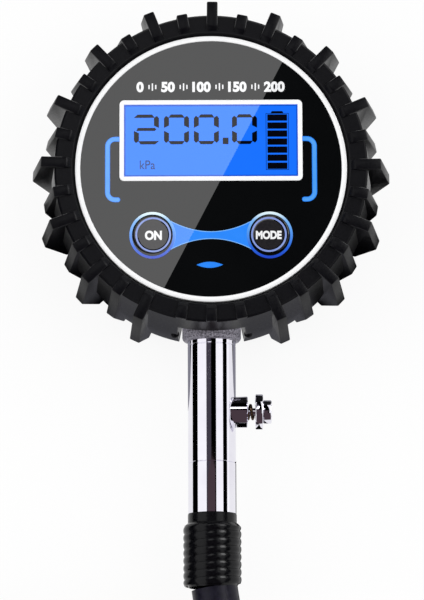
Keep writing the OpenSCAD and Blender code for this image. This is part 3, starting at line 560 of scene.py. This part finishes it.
def stamp(bm, outline, z, border=0.0):
    # a flat patch with its underside just inside what carries it; border is a rim of the next ink
    corners = [bm.verts.new((x, y, z + inkDepth)) for x, y in outline]
    face = bm.faces.new(corners)
    face.normal_update()
    if face.normal.z < 0:
        face.normal_flip()
    patch = [face]
    if border:
        rim = bmesh.ops.inset_region(bm, faces=patch, thickness=border, use_boundary=True,
                                     use_even_offset=True)
        for part in rim["faces"]:
            part.material_index = 1
        patch = patch + rim["faces"]
    thicken(bm, patch)


def stampBox(bm, low, high, z):
    stamp(bm, [low, (high[0], low[1]), high, (low[0], high[1])], z)


def stampFrame(bm, low, high, z, stroke, index):
    # a thin line round a rectangle
    corners = [bm.verts.new((x, y, z + inkDepth)) for x, y in
               (low, (high[0], low[1]), high, (low[0], high[1]))]
    face = bm.faces.new(corners)
    face.normal_update()
    rim = bmesh.ops.inset_region(bm, faces=[face], thickness=stroke, use_boundary=True,
                                 use_even_offset=True)
    bm.faces.remove(face)
    for part in rim["faces"]:
        part.material_index = index
    thicken(bm, rim["faces"])


def thicken(bm, faces):
    # gives a flat patch sides and an underside
    grown = bmesh.ops.extrude_face_region(bm, geom=faces, use_keep_orig=True)["geom"]
    lower = [v for v in grown if isinstance(v, bmesh.types.BMVert)]
    bmesh.ops.translate(bm, vec=(0, 0, -2 * inkDepth), verts=lower)


def stampText(bm, words, centre, size, z, weight=0.0, index=0):
    # size is the width and height that the words take; a zero width keeps the letters' own.
    # gives back the new vertices and the width
    letters = bpy.data.curves.new(words, "FONT")
    letters.body = words
    letters.align_x = "CENTER"
    letters.resolution_u = 6
    letters.offset = weight
    letters.extrude = inkDepth
    holder = bpy.data.objects.new(words, letters)
    scene.collection.objects.link(holder)
    bpy.context.view_layer.update()
    flat = bpy.data.meshes.new_from_object(holder.evaluated_get(
        bpy.context.evaluated_depsgraph_get()))
    bpy.data.objects.remove(holder)
    known = set(bm.verts)
    knownFaces = set(bm.faces)
    bm.from_mesh(flat)
    bpy.data.meshes.remove(flat)
    fresh = [v for v in bm.verts if v not in known]
    for face in bm.faces:
        if face not in knownFaces:
            face.material_index = index
    low = [min(v.co[i] for v in fresh) for i in (0, 1)]
    high = [max(v.co[i] for v in fresh) for i in (0, 1)]
    tall = size[1] / (high[1] - low[1])
    wide = size[0] / (high[0] - low[0]) if size[0] else tall
    bmesh.ops.translate(bm, vec=(-(low[0] + high[0]) / 2, -(low[1] + high[1]) / 2, 0),
                        verts=fresh)
    bmesh.ops.scale(bm, vec=(wide, tall, 1), verts=fresh)
    bmesh.ops.translate(bm, vec=(centre[0], centre[1], z), verts=fresh)
    return fresh, (high[0] - low[0]) * wide


def printRing(bm, centre, outer, stroke, z, index=0, tall=1.0):
    # tall stretches the ring along Y
    known = set(bm.faces)
    lathe(bm, [(outer - stroke, z - inkDepth), (outer, z - inkDepth), (outer, z + inkDepth),
               (outer - stroke, z + inkDepth)], Matrix.Diagonal((1, tall, 1)),
          (centre[0], centre[1], 0))
    for face in bm.faces:
        if face not in known:
            face.material_index = index


# display segments: four digits, a battery mark of seven bars and a small unit
def buildSegments():
    d = {"middle": 10.16, "half": 3.88, "lefts": (-19.54, -11.9, -4.32, 5.36), "wide": 6.35,
         "point": ((3.0, 6.28), (4.45, 7.95)), "unit": (-16.1, 0.95), "unitSize": (3.9, 2.3)}
    bar = {"left": 14.34, "right": 19.34, "top": 13.97, "high": 1.64, "pitch": 2.09, "count": 7,
           "nub": [(15.12, 14.17), (18.5, 14.17), (18.15, 14.84), (15.47, 14.84)]}
    border = {"low": (-22, -2.02), "high": (22, 16.5), "stroke": 0.32}
    # the segments' outlines, from a digit's left side and middle height
    h = d["half"]
    upper = [(0, 0.38), (0, h - 0.98), (0.45, h - 0.42), (0.66, h - 0.42), (1.26, h - 0.92),
             (1.26, 1.0)]
    top = [(1.1, h - 0.84), (1.72, h), (4.63, h), (5.25, h - 0.84)]
    hook = [(-0.02, h - 0.86), (0.95, h), (4.63, h), (5.25, h - 0.84)]
    middle = [(0.62, -0.38), (0.98, 0.4), (5.3, 0.4), (5.72, 0.02), (5.3, -0.38)]
    w = d["wide"]
    shapes = {
        "a": top, "d": [(x, -y) for x, y in top], "g": middle, "hook": hook,
        "tail": [(w - x, -y) for x, y in hook],
        "f": upper, "b": [(w - x, y) for x, y in upper],
        "e": [(x, -y) for x, y in upper], "c": [(w - x, -y) for x, y in upper],
    }
    digits = (("hook", "b", "g", "e", "tail"),) + (tuple("abcdef"),) * 3
    bm = bmesh.new()
    z = level["glass"]
    for left, shown in zip(d["lefts"], digits):
        for name in shown:
            stamp(bm, [(left + x, d["middle"] + y) for x, y in shapes[name]], z)
    stampBox(bm, *d["point"], z)
    for i in range(bar["count"]):
        y = bar["top"] - i * bar["pitch"]
        stampBox(bm, (bar["left"], y - bar["high"]), (bar["right"], y), z)
    stamp(bm, bar["nub"], z)
    stampText(bm, "kPa", d["unit"], d["unitSize"], z, index=2)
    # a hair lower than the segments, where they cross
    stampFrame(bm, (bar["left"] - 0.42, -0.47), (bar["right"] + 0.42, bar["top"] + 0.35), z - 0.012,
               stroke=0.14, index=2)
    # painted shade: this deep blue line round the window's edge stands in for the frame's shadow on
    # the glass
    stampFrame(bm, border["low"], border["high"], z - 0.008, border["stroke"], index=1)
    piece = placePiece(bm, "display_segments", "gauge", segmentInk)
    piece.data.materials.append(paintedEdgeShadeInk)
    piece.data.materials.append(markInk)


# centre of the keys, and the small shift of the printing round them
keys = {"x": 14.9, "y": -17.32, "ringXs": (-14.85, 14.75), "capPrintY": -17.25, "wordY": -17.4}


# brackets beside the display: a line with two round corners and a round lower end
def buildBrackets():
    b = {"stroke": 1.25, "radius": 1.9, "x": 26.2, "top": 7.85, "drop": 0.27, "inner": 23.15,
         "end": 23.6, "rim": 0.2}
    half, r, top = b["stroke"] / 2, b["radius"], b["top"]
    path = []
    for sign, turnFrom in ((1, pi / 2), (-1, 0)):
        corner = (b["x"] - r, sign * (top - r))
        path += [(corner, turnFrom - i * pi / 16) for i in range(9)]
    outer = [(c[0] + (r + half) * cos(a), c[1] + (r + half) * sin(a)) for c, a in path]
    inner = [(c[0] + (r - half) * cos(a), c[1] + (r - half) * sin(a)) for c, a in path]
    end = [(b["end"] + half * cos(a), half * sin(a) - top)
           for a in [-pi / 2 - i * pi / 8 for i in range(9)]]
    outline = [(b["inner"], top + half)] + outer + end + inner[::-1] + [(b["inner"], top - half)]
    bm = bmesh.new()
    for side in (-1, 1):
        stamp(bm, [(side * x, y - b["drop"]) for x, y in outline], level["panel"], border=b["rim"])
    brackets = placePiece(bm, "dial_brackets", "gauge", bracketInk)
    brackets.data.materials.append(blueInk)


# bow between the keys, narrow in the middle and cut round where it meets their rings, and a lens
def buildBow():
    b = {"waist": 0.98, "flare": 0.0262, "ring": 5.75, "steps": 16, "rows": 8, "rim": 0.2}
    z = level["panel"]
    bm = bmesh.new()
    grid = bmesh.ops.create_grid(bm, x_segments=2 * b["steps"], y_segments=b["rows"], size=1)
    for v in grid["verts"]:
        along, across = v.co.x, v.co.y
        y = across * b["waist"]
        for settle in range(4):    # the bow's end follows the ring, and its width follows x
            x = along * (keys["x"] - (b["ring"] ** 2 - y * y) ** 0.5)
            y = across * (b["waist"] + b["flare"] * x * x)
        v.co = (x, keys["y"] + y, z + inkDepth)
    bm.normal_update()
    rim = bmesh.ops.inset_region(bm, faces=list(bm.faces), thickness=b["rim"], use_boundary=True,
                                 use_even_offset=True)
    for face in rim["faces"]:
        face.material_index = 1
    thicken(bm, list(bm.faces))
    lens = {"x": -0.4, "y": -24.95, "long": 3.35, "high": 0.78}
    shares = [i / 8 - 1 for i in range(16)]
    arc = [(lens["long"] * t, lens["high"] * (1 - t * t)) for t in shares]
    stamp(bm, [(side * x + lens["x"], side * y + lens["y"]) for side in (1, -1) for x, y in arc], z)
    piece = placePiece(bm, "dial_bow", "gauge", blueInk)
    piece.data.materials.append(edgeInk)


def buildKeyRings():
    bm = bmesh.new()
    for x in keys["ringXs"]:
        printRing(bm, (x, keys["y"]), 5.82, 0.66, level["panel"] + 0.01, tall=1.035)
    placePiece(bm, "key_rings", "gauge", ringInk)


# row of numbers over the display, with three ticks between each two
def buildNumbers():
    row = {"from": -18.9, "to": 18.8, "y": 21.15, "tall": 2.75,
           "words": ("0", "50", "100", "150", "200"),
           "ticks": ((-0.85, 0.55), (0, 0.95), (0.85, 0.55)), "tickHalf": 0.17}
    z = level["panel"]
    bm = bmesh.new()
    placed = [stampText(bm, words, (0, row["y"]), (0, row["tall"]), z, weight=0.05)
              for words in row["words"]]
    gaps = len(placed) - 1
    gap = (row["to"] - row["from"] - sum(wide for fresh, wide in placed)) / gaps
    x = row["from"]
    for i, (fresh, wide) in enumerate(placed):
        bmesh.ops.translate(bm, vec=(x + wide / 2, 0, 0), verts=fresh)
        x += wide + gap
        if i < gaps:
            for shift, tall in row["ticks"]:
                tick = x - gap / 2 + shift
                stampBox(bm, (tick - row["tickHalf"], row["y"] - tall),
                         (tick + row["tickHalf"], row["y"] + tall), z)
    placePiece(bm, "dial_numbers", "gauge", whiteInk)


# each key's cap carries a ring, a grey disc and its word
def buildKeyPrints():
    z = level["keyTop"]
    for body, node, x, words, width, tall, shift in (
            ("power_key", "power_button", -14.65, "ON", 4.3, 2.45, 0.05),
            ("mode_key", "mode_button", 14.55, "MODE", 6.5, 2.2, -0.05)):
        bm = bmesh.new()
        printRing(bm, (x, keys["capPrintY"]), 4.5, 0.46, z, index=1)
        disc = bmesh.ops.create_circle(bm, cap_ends=True, segments=72, radius=3.76)
        bmesh.ops.translate(bm, vec=(x, keys["capPrintY"], z + inkDepth), verts=disc["verts"])
        thicken(bm, list({f for v in disc["verts"] for f in v.link_faces}))
        stampText(bm, words, (x + shift, keys["wordY"]), (width, tall), z + 2 * inkDepth,
                  weight=0.05, index=2)
        piece = placePiece(bm, node.replace("button", "key_print"), body, keyFace)
        piece.data.materials.append(paleInk)
        piece.data.materials.append(whiteInk)


buildSegments()
buildBrackets()
buildBow()
buildKeyRings()
buildNumbers()
buildKeyPrints()
print("dial printed")


def addCard(name, place, size, tilt, finish, glossyOnly=False, move=None, fromY=None,
            outline=None):
    # a flat sheet, given by its size, place and tilt round Y, or by its outline just above the floor
    bm = bmesh.new()
    if outline:
        bm.faces.new([bm.verts.new((x, y, 0.4)) for x, y in outline])
        move = Matrix.Identity(4)
    else:
        bmesh.ops.create_grid(bm, x_segments=1, y_segments=1, size=0.5)
        bmesh.ops.scale(bm, vec=(size[0], size[1], 1), verts=bm.verts)
    if move is None:
        move = Matrix.Translation(place) @ Matrix.Rotation(radians(tilt), 4, "Y")
    bmesh.ops.transform(bm, matrix=Matrix.Scale(mm, 4) @ move, verts=bm.verts)
    if fromY is not None:    # the card ends here, so that the stem doesn't mirror it
        bmesh.ops.bisect_plane(bm, geom=bm.verts[:] + bm.edges[:] + bm.faces[:],
                               plane_co=(0, fromY * mm, 0), plane_no=(0, 1, 0), clear_inner=True)
    mesh = bpy.data.meshes.new(name)
    bm.to_mesh(mesh)
    bm.free()
    mesh.materials.append(finish)
    card = bpy.data.objects.new(name, mesh)
    scene.collection.objects.link(card)
    if glossyOnly:
        card.visible_camera = card.visible_diffuse = card.visible_shadow = False
        card.visible_transmission = card.visible_volume_scatter = False


# floor, lamps and cards
def buildStage():
    floorPaint, shader = startMaterial("palePaintedFloor", {"Base Color": linear("#fbfbfb"),
                                                            "Roughness": 0.9})
    path = addNode(floorPaint, "ShaderNodeLightPath")
    seen = addNode(floorPaint, "ShaderNodeMath", {0: path.outputs["Is Camera Ray"],
                                                  1: path.outputs["Is Glossy Ray"]},
                   operation="MAXIMUM")
    seen = addNode(floorPaint, "ShaderNodeMath", {0: seen.outputs[0],
                                                  1: path.outputs["Is Transmission Ray"]},
                   operation="MAXIMUM")
    share = addNode(floorPaint, "ShaderNodeMath", {0: seen.outputs[0], 1: 0.9},
                    operation="MULTIPLY")
    glow = addNode(floorPaint, "ShaderNodeEmission", {"Strength": 1.0})
    blend = addNode(floorPaint, "ShaderNodeMixShader",
                    {0: share.outputs[0], 1: shader.outputs[0], 2: glow.outputs[0]})
    out = floorPaint.node_tree.nodes["Material Output"]
    floorPaint.node_tree.links.new(blend.outputs[0], out.inputs["Surface"])
    addCard("floor", (0, -100, 0), (4000, 4000), 0, floorPaint)

    world = bpy.data.worlds.new("paleStudio")
    world.use_nodes = True
    scene.world = world
    background = world.node_tree.nodes["Background"]
    background.inputs["Color"].default_value = (1, 1, 1, 1)
    path = addNode(world, "ShaderNodeLightPath")
    seen = addNode(world, "ShaderNodeMath", {0: path.outputs["Is Camera Ray"],
                                             1: path.outputs["Is Glossy Ray"]},
                   operation="MAXIMUM")
    strength = addNode(world, "ShaderNodeMapRange", {"Value": seen.outputs[0], "To Min": 0.66,
                                                     "To Max": 1.15})
    world.node_tree.links.new(strength.outputs["Result"], background.inputs["Strength"])

    lamps = {"left": ((-640, 60, 640), (700, 900), 2.6), "right": ((560, 60, 740), (640, 900), 2.6)}
    for name, (place, size, power) in lamps.items():
        lamp = bpy.data.lights.new("lamp_" + name, "AREA")
        lamp.shape = "RECTANGLE"
        lamp.size, lamp.size_y = size[0] * mm, size[1] * mm
        lamp.energy = power
        holder = bpy.data.objects.new("lamp_" + name, lamp)
        holder.location = Vector(place) * mm
        holder.rotation_mode = "QUATERNION"
        aim = Vector((0, -40, 20)) - Vector(place)
        holder.rotation_quaternion = aim.to_track_quat("-Z", "Y")
        holder.visible_glossy = False    # the cards alone make the bands in the chrome
        scene.collection.objects.link(holder)

    cards = {
        "glow_white": ("#ffffff", 2.45), "glow_strip": ("#ffffff", 9), "flag_black": ("#000000", 1),
        "flag_grey": ("#45414c", 1), "flag_brown": ("#4d3f45", 1), "floor_shade_grey": ("#8c8c94", 1),
    }
    paints = {}
    for name, (colour, strength) in cards.items():
        paints[name], shader = startMaterial(name, {})
        lit = addNode(paints[name], "ShaderNodeEmission", {"Color": linear(colour),
                                                           "Strength": strength})
        paints[name].node_tree.links.new(
            lit.outputs[0], paints[name].node_tree.nodes["Material Output"].inputs[0])
    black, brown = paints["flag_black"], paints["flag_brown"]
    # the sharp slanted edge of the light patch on the dial is this card's edge
    addCard("card_glare", (0, 0, 0), (200, 320), 0, paints["glow_white"], glossyOnly=True,
            move=Matrix.Translation((5.8, 146.8, 700)) @ Matrix.Rotation(radians(-27.3), 4, "Z")
            @ Matrix.Translation((-100, 0, 0)), fromY=85)
    addCard("card_strip", (505, 330, 520), (270, 460), 45, paints["glow_strip"], glossyOnly=True)
    addCard("flag_top", (-60, 700, 1000), (840, 2400), 0, black, glossyOnly=True)
    addCard("flag_middle", (-265, 300, 990), (410, 1200), 0, paints["flag_grey"], glossyOnly=True)
    addCard("flag_low", (-60, -160, 980), (640, 440), 0, brown, glossyOnly=True)
    addCard("flag_right", (545, 60, 265), (235, 1400), 66, black, glossyOnly=True)
    addCard("flag_left", (-600, 60, 60), (300, 1400), -85, black, glossyOnly=True)
    addCard("flag_side", (-340, 60, 0.5), (520, 1400), 0, black, glossyOnly=True)
    addCard("flag_front", (0, 0, 0), (700, 1090), 0, brown, glossyOnly=True,
            move=Matrix.Translation((80, -626, 430)) @ Matrix.Rotation(radians(54), 4, "X"))
    addCard("flag_floor", (11.3, -185, 0.5), (9.6, 230), 0, black, glossyOnly=True)
    # arcs on the floor below the boot, seen only in reflections: painted shade standing in for the
    # boot's shadow on the floor, so that its wall and the lugs' lower sides stay deep
    soft, near, far = paints["floor_shade_grey"], 36, 58
    for start, turn, paint in ((182, 46, black), (312, 46, black), (228, 31, soft), (281, 31, soft)):
        angles = [radians(start + turn * i / 11) for i in range(12)]
        arc = ([(near * cos(a), near * sin(a)) for a in angles]
               + [(far * cos(a), far * sin(a)) for a in reversed(angles)])
        addCard("floor_shade_arc", None, None, 0, paint, glossyOnly=True, outline=arc)


buildStage()
print("stage lit")

scene.view_settings.view_transform = "Standard"
